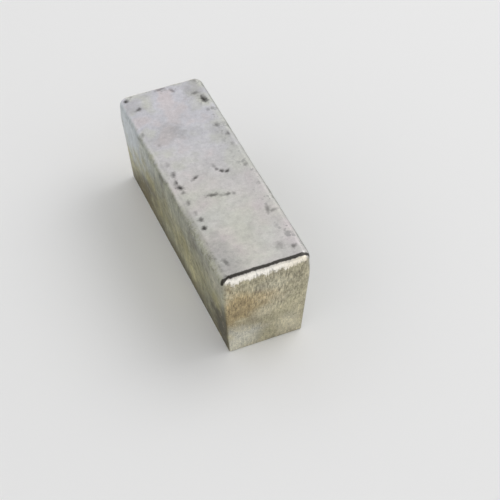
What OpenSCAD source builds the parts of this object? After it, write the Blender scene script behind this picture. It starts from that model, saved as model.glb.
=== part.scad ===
// Magnesium ingot: one solid block cast in an open mould, wider at the top than at the foot.
// The length runs along Y, the foot face lies on Z = 0 and the open side of the mould was up.

/* [Block] */
// Width of the foot face, over its edges
foot_width = 90; // [60:1:150]
// Length of the foot face, over its edges
foot_length = 324; // [150:1:700]
// Height from the foot face to the top face
height = 128; // [95:1:170]
// Draft of the four walls, which lets the casting drop out of its mould
draft_angle = 4.6; // [3.2:0.1:8]

/* [Edges] */
// Radius of the upright corners at the foot, from where they open out with the draft
foot_corner_radius = 3; // [2.5:0.5:12]
// Radius of the edge round the foot face
foot_edge_radius = 2; // [0.5:0.5:2.5]
// Radius of the rim, where the skin of the melt drew away from the mould wall
rim_radius = 9; // [2:0.5:11]

/* [Hidden] */
$fn = 96;

// The four upright corners turn about axes at the corners of this core
core_width = foot_width - 2 * foot_corner_radius;
core_length = foot_length - 2 * foot_corner_radius;

// The walls lean out by the flare between the foot and the rim, and the corners grow by as much
flare = height * tan(draft_angle);
rim_corner_radius = foot_corner_radius + flare;

// The roundings stand out by this much, so that they cross their flanks instead of only touching
lap = 0.001;

// Directions in the section of a wall
inward = [-1, 0];
up_wall = [sin(draft_angle), cos(draft_angle)];

// Stock outside the rounding of a sharp edge, whose two flanks run away from it along a and b
module edge_stock(edge, along_a, along_b, radius) {
    half_angle = acos(along_a * along_b) / 2;
    reach = radius / tan(half_angle);
    bisector = (along_a + along_b) / norm(along_a + along_b);
    centre = edge + bisector * radius / sin(half_angle);
    outside = edge - bisector * radius;
    difference() {
        polygon([outside, edge + along_a * reach, centre, edge + along_b * reach]);
        translate(centre)
            circle(r = radius + lap);
    }
}

// Section from a corner's axis out to the wall, with the foot edge and the rim rounded
module wall_section() {
    foot_edge = [foot_corner_radius, 0];
    rim_edge = [rim_corner_radius, height];
    difference() {
        polygon([[0, 0], foot_edge, rim_edge, [0, height]]);
        edge_stock(foot_edge, inward, up_wall, foot_edge_radius);
        edge_stock(rim_edge, inward, -up_wall, rim_radius);
    }
}

// Straight wall that faces +X, with its section run along one side of the core
module wall(run) {
    rotate([90, 0, 0])
        linear_extrude(height = run, center = true)
            wall_section();
}

// Upright corner between a wall that faces +X and one that faces +Y
module corner() {
    rotate_extrude(angle = 90)
        wall_section();
}

module ingot() {
    color("silver") {
        translate([-core_width / 2, -core_length / 2, 0])
            cube([core_width, core_length, height]);
        for (half = [0, 180]) {
            rotate([0, 0, half]) {
                translate([core_width / 2, 0, 0])
                    wall(core_length);
                translate([core_width / 2, core_length / 2, 0])
                    corner();
                translate([0, core_length / 2, 0])
                    rotate([0, 0, 90])
                        wall(core_width);
                translate([-core_width / 2, core_length / 2, 0])
                    rotate([0, 0, 90])
                        corner();
            }
        }
    }
}

ingot();
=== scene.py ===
import math

import bmesh
import bpy
from mathutils import Euler, Matrix, Vector, noise


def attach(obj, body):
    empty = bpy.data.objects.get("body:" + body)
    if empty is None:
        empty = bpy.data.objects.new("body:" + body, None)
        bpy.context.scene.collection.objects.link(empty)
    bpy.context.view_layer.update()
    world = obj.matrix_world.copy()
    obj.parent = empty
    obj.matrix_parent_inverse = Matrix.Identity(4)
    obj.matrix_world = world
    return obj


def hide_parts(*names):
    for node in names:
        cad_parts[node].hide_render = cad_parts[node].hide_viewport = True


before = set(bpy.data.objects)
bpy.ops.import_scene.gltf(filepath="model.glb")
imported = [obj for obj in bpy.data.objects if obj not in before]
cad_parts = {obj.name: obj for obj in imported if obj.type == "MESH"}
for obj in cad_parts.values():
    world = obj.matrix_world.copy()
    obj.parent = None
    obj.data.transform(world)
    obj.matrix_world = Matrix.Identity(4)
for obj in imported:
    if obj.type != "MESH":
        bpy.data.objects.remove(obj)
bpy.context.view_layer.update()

# The ingot: one solid block of magnesium, poured into an open iron mould and knocked out once it had set.
# The mould gives the foot and the four drafted walls. The top is the free skin of the melt, which drew in
# to a rounded rim and is pitted where gas came out of it.
foot_width = 0.090
foot_length = 0.324
height = 0.128
draft = math.radians(4.6)
foot_corner = 0.003
foot_edge = 0.002
rim_edge = 0.009
corner_steps = 10
foot_steps = 3
rim_steps = 12

flare = height * math.tan(draft)
mouth_width = foot_width + 2 * flare
mouth_length = foot_length + 2 * flare
mouth_corner = foot_corner + flare
core_width = foot_width - 2 * foot_corner
core_length = foot_length - 2 * foot_corner
rim_reach = rim_edge * math.tan(math.radians(45) + draft / 2)
foot_reach = foot_edge * math.tan(math.radians(45) - draft / 2)

# The block starts as its mouth, which is rounded at the corners and drawn down to the foot.
skin = bmesh.new()
bmesh.ops.create_grid(skin, x_segments=1, y_segments=1, size=0.5)
bmesh.ops.scale(skin, vec=(mouth_width, mouth_length, 1), verts=skin.verts)
bmesh.ops.translate(skin, vec=(0, 0, height), verts=skin.verts)
bmesh.ops.bevel(
    skin,
    geom=skin.verts[:],
    offset=mouth_corner,
    affect="VERTICES",
    segments=corner_steps,
    profile=0.5,
    material=-1,
)
bmesh.ops.reverse_faces(skin, faces=skin.faces[:])
bmesh.ops.inset_region(
    skin, faces=skin.faces[:], thickness=flare, depth=height, use_boundary=True, use_even_offset=True
)
bmesh.ops.contextual_create(skin, geom=[edge for edge in skin.edges if edge.is_boundary])
bmesh.ops.recalc_face_normals(skin, faces=skin.faces[:])

# Two places closer than a hair count as one.
hair = 1e-6
for level, reach, steps in ((height, rim_reach, rim_steps), (0, foot_reach, foot_steps)):
    loop = [edge for edge in skin.edges if all(abs(vert.co.z - level) < hair for vert in edge.verts)]
    bmesh.ops.bevel(
        skin, geom=loop, offset=reach, affect="EDGES", segments=steps, profile=0.5, material=-1
    )


def slice_across(faces, axis, span, cell):
    """Cuts faces square to an axis at even steps over a span, to make the skin fine enough for relief."""
    start, end = span
    steps = round((end - start) / cell)
    for step in range(steps + 1):
        place = start + (end - start) * step / steps
        edges = {edge for face in faces for edge in face.edges}
        verts = {vert for face in faces for vert in face.verts}
        cut = bmesh.ops.bisect_plane(
            skin, geom=[*verts, *edges, *faces], plane_co=axis * place, plane_no=axis, dist=hair
        )
        pieces = [item for item in cut["geom"] if isinstance(item, bmesh.types.BMFace)]
        faces = [face for face in pieces if any(vert.co.dot(axis) > place + hair for vert in face.verts)]


def faces_between(low, high):
    """The faces of the skin whose middles lie between two heights."""
    return [face for face in skin.faces if low < face.calc_center_bounds().z < high]


wall_cell = 0.002
top_cell = 0.001
edge_gap = 0.0005
x_axis = Vector((1, 0, 0))
y_axis = Vector((0, 1, 0))
z_axis = Vector((0, 0, 1))
x_span = (-core_width / 2, core_width / 2)
y_span = (-core_length / 2, core_length / 2)
z_span = (foot_reach + edge_gap, height - rim_reach - edge_gap)
on_top = (height - hair, height + hair)
below_top = (-height, height - hair)
on_walls = (foot_reach + 2 * edge_gap, height - rim_reach - 2 * edge_gap)
slice_across(faces_between(*on_top), y_axis, y_span, top_cell)
slice_across(faces_between(*on_top), x_axis, x_span, top_cell)
slice_across(faces_between(*below_top), y_axis, y_span, wall_cell)
slice_across(faces_between(*below_top), x_axis, x_span, wall_cell)
slice_across(faces_between(*on_walls), z_axis, z_span, wall_cell)

# Pits in the top skin, where gas came out: place, half length, half width, turn from the X axis in
# degrees, and how dark they are. They lie along both rims, in broken cracks across the middle, and at
# the ends.
left_rim_pits = (
    (-0.0410, 0.0300, 0.0048, 0.0033, 80, 0.30),
    (-0.0405, 0.0120, 0.0062, 0.0031, 70, 0.65),
    (-0.0430, -0.0030, 0.0072, 0.0024, 80, 0.90),
    (-0.0418, -0.0115, 0.0066, 0.0038, 125, 1.00),
    (-0.0415, -0.0210, 0.0038, 0.0033, 30, 0.55),
    (-0.0425, -0.0395, 0.0057, 0.0031, 75, 0.55),
    (-0.0405, -0.0585, 0.0044, 0.0025, 80, 0.35),
    (-0.0390, -0.0700, 0.0044, 0.0039, 15, 0.75),
    (-0.0405, -0.0840, 0.0042, 0.0035, 50, 1.00),
)
crack_pits = (
    (0.0075, 0.0070, 0.0052, 0.0025, 100, 0.35),
    (0.0090, 0.0010, 0.0038, 0.0028, 120, 0.60),
    (0.0130, -0.0040, 0.0038, 0.0030, 130, 0.90),
    (0.0185, -0.0070, 0.0038, 0.0030, 20, 0.90),
    (-0.0195, -0.0025, 0.0046, 0.0026, 35, 0.80),
    (-0.0240, -0.0055, 0.0031, 0.0020, 35, 0.35),
    (-0.0115, -0.0380, 0.0086, 0.0033, -10, 0.75),
    (-0.0025, -0.0425, 0.0037, 0.0022, 0, 0.35),
    (0.0050, -0.0430, 0.0050, 0.0028, -5, 0.65),
    (0.0120, -0.0450, 0.0027, 0.0025, 0, 0.45),
)
right_rim_pits = (
    (0.0360, 0.1395, 0.0061, 0.0035, 0, 0.50),
    (0.0420, 0.1245, 0.0089, 0.0044, 105, 1.00),
    (0.0390, 0.1040, 0.0040, 0.0031, 90, 0.40),
    (0.0385, 0.0735, 0.0052, 0.0033, 90, 0.50),
    (0.0450, 0.0540, 0.0052, 0.0031, 90, 0.60),
    (0.0430, 0.0355, 0.0042, 0.0028, 90, 0.40),
    (0.0435, -0.0050, 0.0048, 0.0033, 80, 0.50),
    (0.0445, -0.0390, 0.0042, 0.0028, 90, 0.35),
    (0.0365, -0.0845, 0.0078, 0.0031, 75, 0.55),
    (0.0425, -0.0880, 0.0066, 0.0027, 5, 0.50),
)
front_pits = (
    (0.0250, -0.1430, 0.0076, 0.0068, 0, 0.32),
    (0.0400, -0.1495, 0.0040, 0.0039, 0, 0.65),
    (-0.0385, -0.1435, 0.0073, 0.0031, 100, 0.55),
)
back_pits = (
    (-0.0470, 0.1580, 0.0036, 0.0033, 45, 1.00),
    (-0.0375, 0.1375, 0.0052, 0.0033, 30, 0.75),
    (-0.0025, 0.1630, 0.0074, 0.0028, 0, 0.45),
    (0.0120, 0.1550, 0.0054, 0.0026, 120, 0.50),
    (-0.0495, 0.0925, 0.0048, 0.0028, 90, 0.45),
    (-0.0390, 0.0660, 0.0043, 0.0031, 90, 0.20),
)
pits = left_rim_pits + crack_pits + right_rim_pits + front_pits + back_pits
pit_steepness = 0.2
pit_raggedness = 0.55
pit_rag_size = 0.0025


def ease(low, high, value):
    """0 below low, 1 above high, and a smooth step between them."""
    share = min(max((value - low) / (high - low), 0), 1)
    return share * share * (3 - 2 * share)


def drift(place, x_size, y_size, z_size, seed):
    """Smooth seeded unevenness from -1 to 1, with the given sizes along the three axes."""
    x_step = place.x / x_size + seed
    y_step = place.y / y_size - seed
    z_step = place.z / z_size + 2 * seed
    return noise.noise(Vector((x_step, y_step, z_step)))


def pit_depth(place):
    """Depth of the pits at a place on the top, and how dark they are there, from 0 to 1."""
    depth = 0
    dark = 0
    for x, y, half_long, half_wide, turn, tone in pits:
        off = Vector((place.x - x, place.y - y))
        if off.length < 1.5 * half_long:
            angle = math.radians(turn)
            along = off.x * math.cos(angle) + off.y * math.sin(angle)
            across = off.y * math.cos(angle) - off.x * math.sin(angle)
            reach = math.hypot(along / half_long, across / half_wide)
            reach *= 1 + pit_raggedness * drift(place, pit_rag_size, pit_rag_size, pit_rag_size, 5)
            depth = max(depth, pit_steepness * half_wide * tone * (1 - ease(0.1, 1.1, reach)))
            dark = max(dark, tone * (1 - ease(0.2, 1.3, reach)))
    return depth, dark


# The relief: a wavy top skin and rim, ripples in the walls, a fold along the rim of the front end, and a
# small nub of metal on the back right corner. The mould's upright corners are squarer below the rim.
top_wave = 0.00025
top_ripple = 0.00006
rim_wave = 0.0005
wall_wave = 0.0003
side_ripple = 0.00016
end_ripple = 0.00014
fold_line = 0.0056
fold_depth = 0.0003
nub_x = 0.0455
nub_y = 0.1635
nub_height = 0.0008
corner_square = 6
skin.normal_update()
pit_layer = skin.verts.layers.float.new("pit")
end_layer = skin.verts.layers.float.new("end_wall")
foot_layer = skin.verts.layers.float.new("foot")
for vert in skin.verts:
    place = vert.co.copy()
    face = vert.normal.copy()
    top = ease(0.55, 0.98, face.z)
    side = abs(face.x)
    end = abs(face.y)
    vert[end_layer] = end / (side + end + hair)
    vert[foot_layer] = ease(0.4, 0.9, -face.z)
    out_x = abs(place.x) - core_width / 2
    out_y = abs(place.y) - core_length / 2
    if out_x > 0 and out_y > 0:
        power = 2 + (corner_square - 2) * ease(height - 0.012, height - 0.04, place.z)
        reach = math.hypot(out_x, out_y)
        swell = reach / (out_x ** power + out_y ** power) ** (1 / power)
        place.x = math.copysign(core_width / 2 + out_x * swell, place.x)
        place.y = math.copysign(core_length / 2 + out_y * swell, place.y)
    lift = 0
    if top > 0:
        depth, dark = pit_depth(place)
        vert[pit_layer] = dark * top
        lift += top * (top_wave * (drift(place, 0.045, 0.06, 1, 3) - 1) - depth)
        lift += top * top_ripple * drift(place, 0.03, 0.006, 1, 9)
    rim = ease(height - 0.014, height - 0.006, place.z) * (1 - ease(0.9, 0.995, face.z))
    lift += rim * rim_wave * (drift(place, 0.02, 0.02, 0.02, 11) - 0.4)
    wall = (1 - top) * ease(0, 0.004, place.z)
    lift += wall * wall_wave * (drift(place, 0.05, 0.06, 0.04, 13) - 0.6)
    lift += wall * side * side_ripple * drift(place, 1, 0.05, 0.005, 17)
    lift += wall * end * end_ripple * drift(place, 0.006, 1, 0.03, 19)
    fold = 1 - ease(0.0008, 0.0024, abs(math.hypot(max(out_x, 0), max(out_y, 0)) - fold_line))
    lift -= fold_depth * fold * ease(0.6, 0.9, end) * ease(0.03, -0.03, place.y)
    nub = 1 - ease(0.0008, 0.0050, math.hypot(place.x - nub_x, place.y - nub_y))
    lift += nub_height * nub * ease(0.2, 0.5, face.z)
    vert.co = place + face * lift

for face in skin.faces:
    face.smooth = True
ingot_mesh = bpy.data.meshes.new("ingot_skin")
skin.to_mesh(ingot_mesh)
skin.free()
ingot = bpy.data.objects.new("ingot_skin", ingot_mesh)
bpy.context.scene.collection.objects.link(ingot)


class Paint:
    """One value in a material's node tree. Arithmetic on it adds Math nodes to that tree."""

    def __init__(self, tree, socket=None):
        self.tree = tree
        self.socket = socket

    def node(self, kind, settings, sockets, output=0):
        """Adds a node, sets its settings and then its sockets, and gives one of its outputs."""
        made = self.tree.nodes.new(kind)
        for name, value in settings.items():
            setattr(made, name, value)
        for name, value in sockets.items():
            if isinstance(value, Paint):
                self.tree.links.new(value.socket, made.inputs[name])
            else:
                made.inputs[name].default_value = value
        return Paint(self.tree, made.outputs[output]) if made.outputs else None

    def work_out(self, operation, first, second):
        """A Math node on two values, of which one may be a plain number."""
        return self.node("ShaderNodeMath", {"operation": operation}, {0: first, 1: second})

    def __add__(self, other):
        return self.work_out("ADD", self, other)

    def __radd__(self, other):
        return self.work_out("ADD", other, self)

    def __sub__(self, other):
        return self.work_out("SUBTRACT", self, other)

    def __rsub__(self, other):
        return self.work_out("SUBTRACT", other, self)

    def __mul__(self, other):
        return self.work_out("MULTIPLY", self, other)

    def __rmul__(self, other):
        return self.work_out("MULTIPLY", other, self)


def new_tree(owner):
    """An empty node tree on a material or world."""
    owner.use_nodes = True
    owner.node_tree.nodes.clear()
    return Paint(owner.node_tree)


cast_metal = bpy.data.materials.new("cast_magnesium")
paint = new_tree(cast_metal)
spot = paint.node("ShaderNodeTexCoord", {}, {}, "Object")
split = spot.node("ShaderNodeSeparateXYZ", {}, {"Vector": spot})
x, y, z = (Paint(paint.tree, split.socket.node.outputs[name]) for name in "XYZ")


def ramp(value, low, high, to_low=0.0, to_high=1.0):
    """A value eased from one range to another, and held at the ends."""
    settings = {"interpolation_type": "SMOOTHSTEP", "clamp": True}
    sockets = {"Value": value, "From Min": low, "From Max": high, "To Min": to_low, "To Max": to_high}
    return value.node("ShaderNodeMapRange", settings, sockets)


def vector_sum(operation, first, second, output=0):
    """A Vector Math node on two vectors."""
    return spot.node("ShaderNodeVectorMath", {"operation": operation}, {0: first, 1: second}, output)


def grain(scale, detail, rough, turn=(0, 0, 0), shift=(0, 0, 0)):
    """Noise around 0 with its own scale along each axis, in marks per metre."""
    sockets = {"Vector": spot, "Rotation": turn, "Location": shift}
    mapped = spot.node("ShaderNodeMapping", {"vector_type": "POINT"}, sockets)
    scaled = vector_sum("MULTIPLY", mapped, scale)
    sockets = {"Vector": scaled, "Scale": 1.0, "Detail": detail, "Roughness": rough}
    return spot.node("ShaderNodeTexNoise", {"noise_dimensions": "3D"}, sockets) - 0.5


def coat(mask, under, over):
    """One colour laid over another by a mask."""
    return mask.node("ShaderNodeMix", {"data_type": "RGBA"}, {0: mask, 6: under, 7: over}, 2)


def shade(level, colour):
    """A colour made lighter or darker by a level around 1."""
    return level.node("ShaderNodeVectorMath", {"operation": "SCALE"}, {0: colour, "Scale": level})


def carried(name):
    """A value that the mesh carries at each of its points."""
    return paint.node("ShaderNodeAttribute", {"attribute_name": name}, {}, "Fac")


def unsigned(value):
    """A value without its sign."""
    return value.node("ShaderNodeMath", {"operation": "ABSOLUTE"}, {0: value})


def beyond(value, limit):
    """How far a value lies beyond a limit, on either side."""
    return value.work_out("MAXIMUM", unsigned(value) - limit, 0.0)


def stain(centre, size):
    """A soft stain round a place on the skin, with a ragged edge."""
    middle = [place / reach for place, reach in zip(centre, size)]
    far = vector_sum("DISTANCE", vector_sum("DIVIDE", spot, size), middle, "Value")
    return ramp(far + 1.8 * blotch + 1.4 * tint + 0.8 * mottle, 1.15, 0.25)


pit = carried("pit")
end_share = carried("end_wall")
end_wall = ramp(end_share, 0.35, 0.65)
foot = carried("foot")
left = ramp(x, 0.01, -0.01)
front = ramp(y, 0.04, -0.04)

# Unevenness of the cast skin, from wide clouds down to specks, then the marks that are drawn out one way:
# runs, streaks and pocks on the long walls, and the dashes and the teeth of the ends.
cloud = grain((11, 11, 11), 3.0, 0.5, shift=(0.3, 0.1, 0.2))
tint = grain((24, 24, 24), 3.0, 0.5, shift=(0.7, 0.5, 0.1))
blotch = grain((34, 34, 34), 4.0, 0.6)
mottle = grain((130, 130, 130), 3.0, 0.6, shift=(0.1, 0.4, 0.0))
fleck = grain((270, 270, 270), 2.0, 0.6, shift=(0.2, 0.0, 0.3))
speck = grain((620, 620, 620), 2.0, 0.6)
run = grain((80, 240, 50), 3.0, 0.65, shift=(0.0, 0.3, 0.2))
streak = grain((60, 85, 22), 3.0, 0.55, shift=(0.2, 0.1, 0.5))
pock = grain((150, 95, 170), 2.0, 0.5, shift=(0.4, 0.2, 0.6))
dash = grain((500, 60, 130), 2.0, 0.6, turn=(0, math.radians(-4), 0))
comb = grain((420, 60, 30), 2.0, 0.5)
stain_depth = 0.05

# The top is satin, beige at the front and lavender grey at the back, with grey stains (the one on the back
# right nub is painted shade) and smudged rims.
beige = (0.645, 0.615, 0.575, 1)
lavender = (0.61, 0.605, 0.65, 1)
green_grey = (0.60, 0.605, 0.535, 1)
rose_grey = (0.67, 0.595, 0.595, 1)
lead_grey = (0.55, 0.55, 0.57, 1)
stain_and_shade_grey = (0.40, 0.395, 0.385, 1)
dirt_grey = (0.36, 0.355, 0.34, 1)
smudge_grey = (0.235, 0.235, 0.235, 1)
top_metal = coat(ramp(y + 0.10 * cloud, -0.06, 0.12), beige, lavender)
top_metal = coat(ramp(tint, -0.06, 0.12) * 0.8, top_metal, green_grey)
top_metal = coat(ramp(tint, -0.04, -0.18) * 0.7, top_metal, rose_grey)
top_metal = coat(ramp(cloud, -0.10, 0.16) * 0.4, top_metal, lead_grey)
for x_place, y_place, x_size, y_size, strength in (
    (-0.037, 0.144, 0.018, 0.018, 0.35),
    (0.036, 0.142, 0.018, 0.020, 0.45),
    (-0.026, 0.079, 0.030, 0.016, 0.30),
    (-0.037, -0.132, 0.016, 0.040, 0.40),
    (0.036, 0.060, 0.012, 0.030, 0.30),
    # painted shade on the nub at the back right corner, which dulls its highlight
    (0.045, 0.163, 0.010, 0.010, 0.60),
):
    patch = stain((x_place, y_place, height), (x_size, y_size, stain_depth))
    top_metal = coat(patch * strength, top_metal, stain_and_shade_grey)
dirt = stain((-0.038, -0.140, height), (0.024, 0.040, stain_depth)) * ramp(fleck + 0.6 * mottle, -0.04, 0.10)
top_metal = coat(dirt * 0.5, top_metal, dirt_grey)
top_metal = shade(1 + 0.34 * blotch + 0.36 * mottle + 0.28 * fleck + 0.28 * speck, top_metal)
fringe = ramp(x, 0.027, 0.042) + ramp(y, 0.150, 0.158) + 0.25 * ramp(x, -0.036, -0.044)
smudge = ramp(mottle, 0.02, 0.14) * ramp(blotch, -0.10, 0.02) * fringe
top_metal = coat(smudge * 0.6, top_metal, smudge_grey)

# The long walls are olive, greyer above and with painted shade at the foot, with stains, lap lines where
# the melt met cold metal, and pock marks. The right wall is cleaner and greyer than the left one.
# olive and brown_olive are darker than the metal itself: in part this is painted shade
olive = (0.33, 0.325, 0.215, 1)
brown_olive = (0.33, 0.305, 0.155, 1)
upper_grey = (0.305, 0.312, 0.258, 1)
foot_shade = (0.12, 0.10, 0.034, 1)
lap_dark = (0.085, 0.08, 0.06, 1)
clean_grey = (0.345, 0.365, 0.345, 1)
pock_dark = (0.11, 0.10, 0.065, 1)
pock_pale = (0.50, 0.48, 0.38, 1)
side_wall_x = 0.05
ragged_z = z + 0.04 * blotch
side_metal = coat(ramp(tint, -0.12, 0.12), olive, brown_olive)
side_metal = coat(ramp(ragged_z, 0.070, 0.108) * 0.8, side_metal, upper_grey)
# painted shade: the long walls darken towards the foot
side_metal = coat(ramp(ragged_z, 0.036, 0.004) * 0.85, side_metal, foot_shade)
for side, y_place, z_place, y_size, z_size, strength, colour in (
    (-1, 0.080, 0.106, 0.056, 0.034, 0.70, (0.365, 0.385, 0.36, 1)),
    (-1, 0.042, 0.084, 0.020, 0.018, 0.60, (0.19, 0.195, 0.145, 1)),
    (-1, 0.142, 0.100, 0.060, 0.060, 1.00, (0.49, 0.525, 0.545, 1)),
    (-1, 0.105, 0.018, 0.046, 0.032, 0.85, (0.125, 0.095, 0.023, 1)),
    (-1, 0.066, 0.048, 0.022, 0.032, 0.75, (0.125, 0.11, 0.06, 1)),
    (-1, -0.054, 0.042, 0.036, 0.030, 0.90, (0.47, 0.44, 0.25, 1)),
    (-1, -0.008, 0.068, 0.020, 0.018, 0.50, (0.42, 0.395, 0.26, 1)),
    (-1, -0.148, 0.034, 0.032, 0.044, 0.95, (0.066, 0.05, 0.011, 1)),
    (-1, -0.142, 0.104, 0.040, 0.028, 0.80, (0.43, 0.415, 0.325, 1)),
    (-1, -0.076, 0.104, 0.028, 0.020, 0.75, (0.19, 0.182, 0.13, 1)),
    (1, -0.128, 0.092, 0.052, 0.050, 0.80, (0.44, 0.45, 0.43, 1)),
    (1, 0.115, 0.030, 0.034, 0.038, 0.80, (0.12, 0.105, 0.06, 1)),
    (1, -0.038, 0.012, 0.060, 0.024, 0.70, (0.15, 0.125, 0.055, 1)),
    (1, 0.034, 0.058, 0.034, 0.026, 0.70, (0.42, 0.39, 0.21, 1)),
):
    patch = stain((side * side_wall_x, y_place, z_place), (stain_depth, y_size, z_size))
    side_metal = coat(patch * strength, side_metal, colour)
wander = 0.040 * tint + 0.014 * blotch + 0.008 * mottle
for side, from_y, from_z, to_y, to_z, strength in (
    (-1, -0.070, 0.076, -0.160, 0.031, 0.7),
    (-1, -0.085, 0.120, -0.150, 0.090, 0.5),
    (1, 0.140, 0.060, 0.020, 0.094, 0.5),
):
    slope = (to_z - from_z) / (to_y - from_y)
    middle = (from_y + to_y) / 2
    half = abs(to_y - from_y) / 2
    off = unsigned(z - slope * y + wander - (from_z - slope * from_y))
    lap = ramp(off, 0.0042, 0.0006) * ramp(unsigned(y - middle), half + 0.015, half - 0.015)
    lap = lap * ramp(side * x, 0, 0.01) * ramp(run + mottle, -0.14, 0.06)
    side_metal = coat(lap * strength, side_metal, lap_dark)
pale = stain((-side_wall_x, 0.142, 0.100), (stain_depth, 0.060, 0.066))
pale = pale + stain((side_wall_x, -0.128, 0.092), (stain_depth, 0.056, 0.054))
side_metal = coat(0.55 * (1 - left), side_metal, clean_grey)
marked = (1 - 0.6 * pale) * (0.5 + 0.5 * left)
side_metal = coat(ramp(pock, 0.08, 0.20) * marked * 0.5, side_metal, pock_dark)
side_metal = coat(ramp(pock, -0.08, -0.20) * marked * 0.35, side_metal, pock_pale)
level = 1.1 * blotch + 0.7 * mottle + 0.9 * fleck + 0.6 * speck + 1.3 * run + 1.0 * streak
side_metal = shade(1.03 + level * (1 - 0.55 * pale) * (0.45 + 0.55 * left), side_metal)

# The end walls are the colour of straw and finely scored, with a brown stain, a pale lower corner and
# painted light along the foot.
straw = (0.505, 0.465, 0.345, 1)
dull_straw = (0.48, 0.445, 0.315, 1)
upper_brown = (0.34, 0.31, 0.22, 1)
lower_painted_light = (0.64, 0.605, 0.47, 1)
end_wall_y = 0.17
end_metal = coat(ramp(tint, -0.12, 0.12), straw, dull_straw)
for end, x_place, z_place, x_size, z_size, strength, colour in (
    (-1, -0.034, 0.078, 0.038, 0.036, 0.8, (0.49, 0.38, 0.205, 1)),
    (-1, -0.006, 0.080, 0.026, 0.020, 0.5, (0.50, 0.395, 0.24, 1)),
    (-1, -0.008, 0.104, 0.018, 0.014, 0.6, (0.37, 0.345, 0.28, 1)),
    (-1, -0.020, 0.045, 0.013, 0.012, 0.5, (0.33, 0.295, 0.215, 1)),
    (-1, -0.034, 0.014, 0.034, 0.028, 1.0, (0.65, 0.64, 0.565, 1)),
    (-1, 0.024, 0.026, 0.022, 0.020, 0.4, (0.56, 0.54, 0.425, 1)),
    (-1, 0.002, 0.012, 0.014, 0.014, 0.5, (0.40, 0.37, 0.225, 1)),
    (-1, 0.000, 0.056, 0.020, 0.014, 0.7, (0.66, 0.61, 0.46, 1)),
    (-1, 0.010, 0.102, 0.018, 0.014, 0.5, (0.60, 0.57, 0.45, 1)),
    # painted shadow: a darker strip down the right edge of the front end
    (-1, 0.047, 0.034, 0.012, 0.040, 0.5, (0.37, 0.34, 0.235, 1)),
    (1, -0.030, 0.062, 0.036, 0.032, 0.7, (0.40, 0.295, 0.14, 1)),
    (1, 0.024, 0.090, 0.018, 0.014, 0.5, (0.32, 0.295, 0.24, 1)),
    (1, 0.030, 0.018, 0.034, 0.032, 0.9, (0.62, 0.62, 0.56, 1)),
):
    patch = stain((x_place, end * end_wall_y, z_place), (x_size, stain_depth, z_size))
    end_metal = coat(patch * strength, end_metal, colour)
end_metal = coat(ramp(unsigned(z - 0.111), 0.013, 0.003) * 0.3, end_metal, upper_brown)
# painted light: the lowest strip of the ends is lightened against the shade near the floor
end_metal = coat(ramp(z, 0.026, 0.006) * 0.35, end_metal, lower_painted_light)
sharp = 0.6 + 0.9 * ramp(z + 0.09 * blotch, 0.030, 0.085)
end_metal = shade(1 + 1.0 * blotch + 0.8 * mottle + sharp * 1.35 * dash + 1.1 * speck, end_metal)

# The foot is a plainer grey with brown stains.
foot_grey = (0.43, 0.42, 0.37, 1)
foot_olive = (0.36, 0.345, 0.26, 1)
foot_brown = (0.24, 0.215, 0.14, 1)
foot_metal = coat(ramp(tint, -0.10, 0.10), foot_grey, foot_olive)
foot_metal = coat(ramp(cloud + 0.5 * mottle, 0.02, 0.16) * 0.6, foot_metal, foot_brown)
foot_metal = shade(1 + 1.0 * blotch + 0.7 * mottle + 0.6 * fleck, foot_metal)

# The rim: the bright top skin ends in a ragged line on the long sides, with a painted shade line under it.
# Near the front of the left side it is worn, and passes into the wall bit by bit with grit on it.
rim_shade_colour = (0.12, 0.125, 0.105, 1)
grit_dark = (0.17, 0.17, 0.15, 1)
grit_pale = (0.54, 0.53, 0.50, 1)
reach_x = beyond(x, core_width / 2)
reach_y = beyond(y, core_length / 2)
reach = paint.node("ShaderNodeMath", {"operation": "SQRT"}, {0: reach_x * reach_x + reach_y * reach_y})
worn = ramp(unsigned(y + 0.108 + 0.04 * blotch), 0.082, 0.036) * left
crisp = ramp(reach_x + 0.003 * mottle + 0.004 * fleck + 0.006 * blotch, 0.0070, 0.0120)
gradual = ramp(reach_x + 0.004 * mottle + 0.006 * blotch, 0.0010, 0.0120)
shoulder = crisp + worn * (gradual - crisp)
top_share = ramp(z + 0.006 * blotch, height - 0.0085, height - 0.0035)
top_share = top_share * (1 - shoulder * (1 - end_wall))
wall_metal = coat(end_wall, side_metal, end_metal)
wall_metal = coat(foot, wall_metal, foot_metal)
# painted shade: a dark line just under the rim of the long walls
rim_shade_mask = ramp(unsigned(reach_x - 0.0108 + 0.004 * blotch), 0.0022, 0.0004)
rim_shade_mask = rim_shade_mask * ramp(z, height - 0.016, height - 0.008) * (1 - end_wall) * (1 - worn)
rim_shade_mask = rim_shade_mask * ramp(cloud, -0.10, 0.06, 0.2) * ramp(fleck, -0.14, 0.10, 0.4)
wall_metal = coat(rim_shade_mask * 0.55, wall_metal, rim_shade_colour)
skin_metal = coat(top_share, wall_metal, top_metal)
sprinkled = worn * (1 - end_wall) * ramp(reach_x, 0.001, 0.006)
sprinkled = sprinkled * ramp(unsigned(z - height + 0.008), 0.016, 0.008)
grit = fleck + 0.8 * speck
skin_metal = coat(sprinkled * ramp(grit, 0.0, 0.18) * 0.4, skin_metal, grit_dark)
skin_metal = coat(sprinkled * ramp(grit, 0.0, -0.16) * 0.4, skin_metal, grit_pale)

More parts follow.
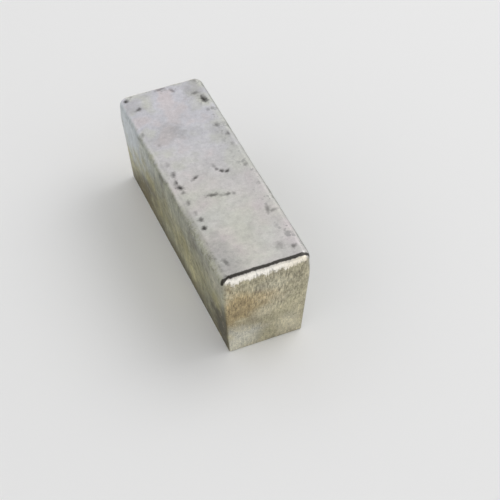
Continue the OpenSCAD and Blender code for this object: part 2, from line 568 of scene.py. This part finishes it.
# The rims of the ends carry a painted highlight, near white, down to ragged teeth. Above that a painted dark
# reflection follows the fold of the front end and turns down at its left corner. The back end shows only
# traces of it.
highlight_white = (0.97, 0.93, 0.85, 1)
highlight_cream = (0.93, 0.85, 0.69, 1)
fold_shade_black = (0.028, 0.024, 0.018, 1)
pit_black = (0.05, 0.046, 0.042, 1)
corner = ramp(end_share, 0.75, 0.30) * left
fold = reach_y + left * (reach - reach_y)
off = fold + 0.0022 * mottle + 0.0016 * fleck - fold_line - 0.0062 * corner
teeth = 0.015 * comb + 0.012 * mottle + 0.008 * fleck
# painted highlight: a near-white band on the rims of the ends
painted_highlight = ramp(z + teeth, height - 0.0092, height - 0.0050)
painted_highlight = painted_highlight * ramp(end_share - 0.1 * (1 - left), 0.36, 0.60) * ramp(off, 0.0010, 0.0026)
painted_highlight = painted_highlight * ramp(grit + 0.3 * dash, -0.16, 0.06, 0.7)
highlight_colour = coat(ramp(x + 0.06 * blotch, 0.0, 0.05), highlight_white, highlight_cream)
skin_metal = coat(painted_highlight, skin_metal, highlight_colour)
# painted dark reflection: a near-black line along the fold of the rim, which also dulls the right corner's
# highlight
fold_shade = ramp(unsigned(off) - 0.0008 * corner, 0.0026, 0.0012)
fold_shade = fold_shade * ramp(z + 0.007 * (corner + 1 - left), height - 0.0045, height - 0.0035)
fold_shade = fold_shade * ramp(end_share, 0.24, 0.34)
fold_shade = fold_shade * (0.95 * front + 0.3 * (1 - front) * ramp(mottle, -0.02, 0.10))
skin_metal = coat(fold_shade, skin_metal, fold_shade_black)
skin_metal = coat(pit, skin_metal, pit_black)

# The walls are rougher than the top, and the dirt in the pits and the painted dark reflection along the fold
# hide the metal.
wall_stand = 0.725
bump_height = 0.0006
bump_strength = 0.5
relief = wall_stand + 0.5 * mottle + 0.15 * speck
relief = relief + 0.8 * run * (1 - end_wall) + 0.6 * dash * end_wall
relief = relief * (1 - 0.75 * top_share)
bumped = paint.node(
    "ShaderNodeBump", {}, {"Strength": bump_strength, "Distance": bump_height, "Height": relief}
)
rough = 0.42 - 0.04 * top_share + 0.14 * blotch + 0.3 * pit
bare = 1 - 0.12 * (1 - top_share) - 0.7 * pit * top_share - 0.5 * fold_shade * top_share
shader = paint.node(
    "ShaderNodeBsdfPrincipled",
    {},
    {"Base Color": skin_metal, "Metallic": bare, "Roughness": rough, "Normal": bumped},
)
paint.node("ShaderNodeOutputMaterial", {}, {"Surface": shader})
ingot_mesh.materials.append(cast_metal)
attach(ingot, "root")
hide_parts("ingot")

# The floor: a plain pale studio floor of matt paint, laid flat under the ingot.
# It is wide enough to fill the view, and it keeps the ingot's soft shadow.
floor_half = 6.0
floor_grey = (0.89, 0.89, 0.89, 1)
floor_shape = bmesh.new()
bmesh.ops.create_grid(floor_shape, x_segments=1, y_segments=1, size=floor_half)
floor_mesh = bpy.data.meshes.new("floor")
floor_shape.to_mesh(floor_mesh)
floor_shape.free()
floor = bpy.data.objects.new("floor", floor_mesh)
bpy.context.scene.collection.objects.link(floor)
floor_finish = bpy.data.materials.new("pale_floor")
paint = new_tree(floor_finish)
shader = paint.node("ShaderNodeBsdfDiffuse", {}, {"Color": floor_grey})
paint.node("ShaderNodeOutputMaterial", {}, {"Surface": shader})
floor_mesh.materials.append(floor_finish)

# The light: a soft pale room that is dimmer overhead, made of the world alone,
# and one large soft lamp that stands high up on the right and points at the ingot.
room_level = 0.95
overhead_level = 0.22
room_white = (1, 1, 1, 1)
room = bpy.data.worlds.new("studio")
bpy.context.scene.world = room
paint = new_tree(room)
way = paint.node("ShaderNodeTexCoord", {}, {}, "Generated")
steepness = paint.node("ShaderNodeSeparateXYZ", {}, {"Vector": way}, "Z")
level = ramp(steepness, 0.74, 0.92, room_level, overhead_level)
shader = paint.node("ShaderNodeBackground", {}, {"Color": room_white, "Strength": level})
paint.node("ShaderNodeOutputWorld", {}, {"Surface": shader})
lamp_place = Vector((2.6, 0.4, 3.4))
lamp_data = bpy.data.lights.new("soft_lamp", "AREA")
lamp_data.shape = "DISK"
lamp_data.size = 3.2
lamp_data.energy = 42
lamp = bpy.data.objects.new("soft_lamp", lamp_data)
lamp.matrix_world = Matrix.LocRotScale(lamp_place, (-lamp_place).to_track_quat("-Z", "Y"), None)
bpy.context.scene.collection.objects.link(lamp)

# The camera: it looks down on the ingot from the front left, at the photograph's angle and lens.
# Its turn is the tilt up from straight down, the small roll and the pan, in degrees.
camera_place = Vector((-0.46866, -1.28594, 1.38702))
camera_turn = (44.524, 0.903, -22.812)
camera_data = bpy.data.cameras.new("camera")
camera_data.sensor_width = 36
camera_data.lens = 115.12
camera = bpy.data.objects.new("camera", camera_data)
turn = Euler([math.radians(angle) for angle in camera_turn])
camera.matrix_world = Matrix.LocRotScale(camera_place, turn, None)
bpy.context.scene.collection.objects.link(camera)
bpy.context.scene.camera = camera
bpy.context.scene.view_settings.view_transform = "Standard"
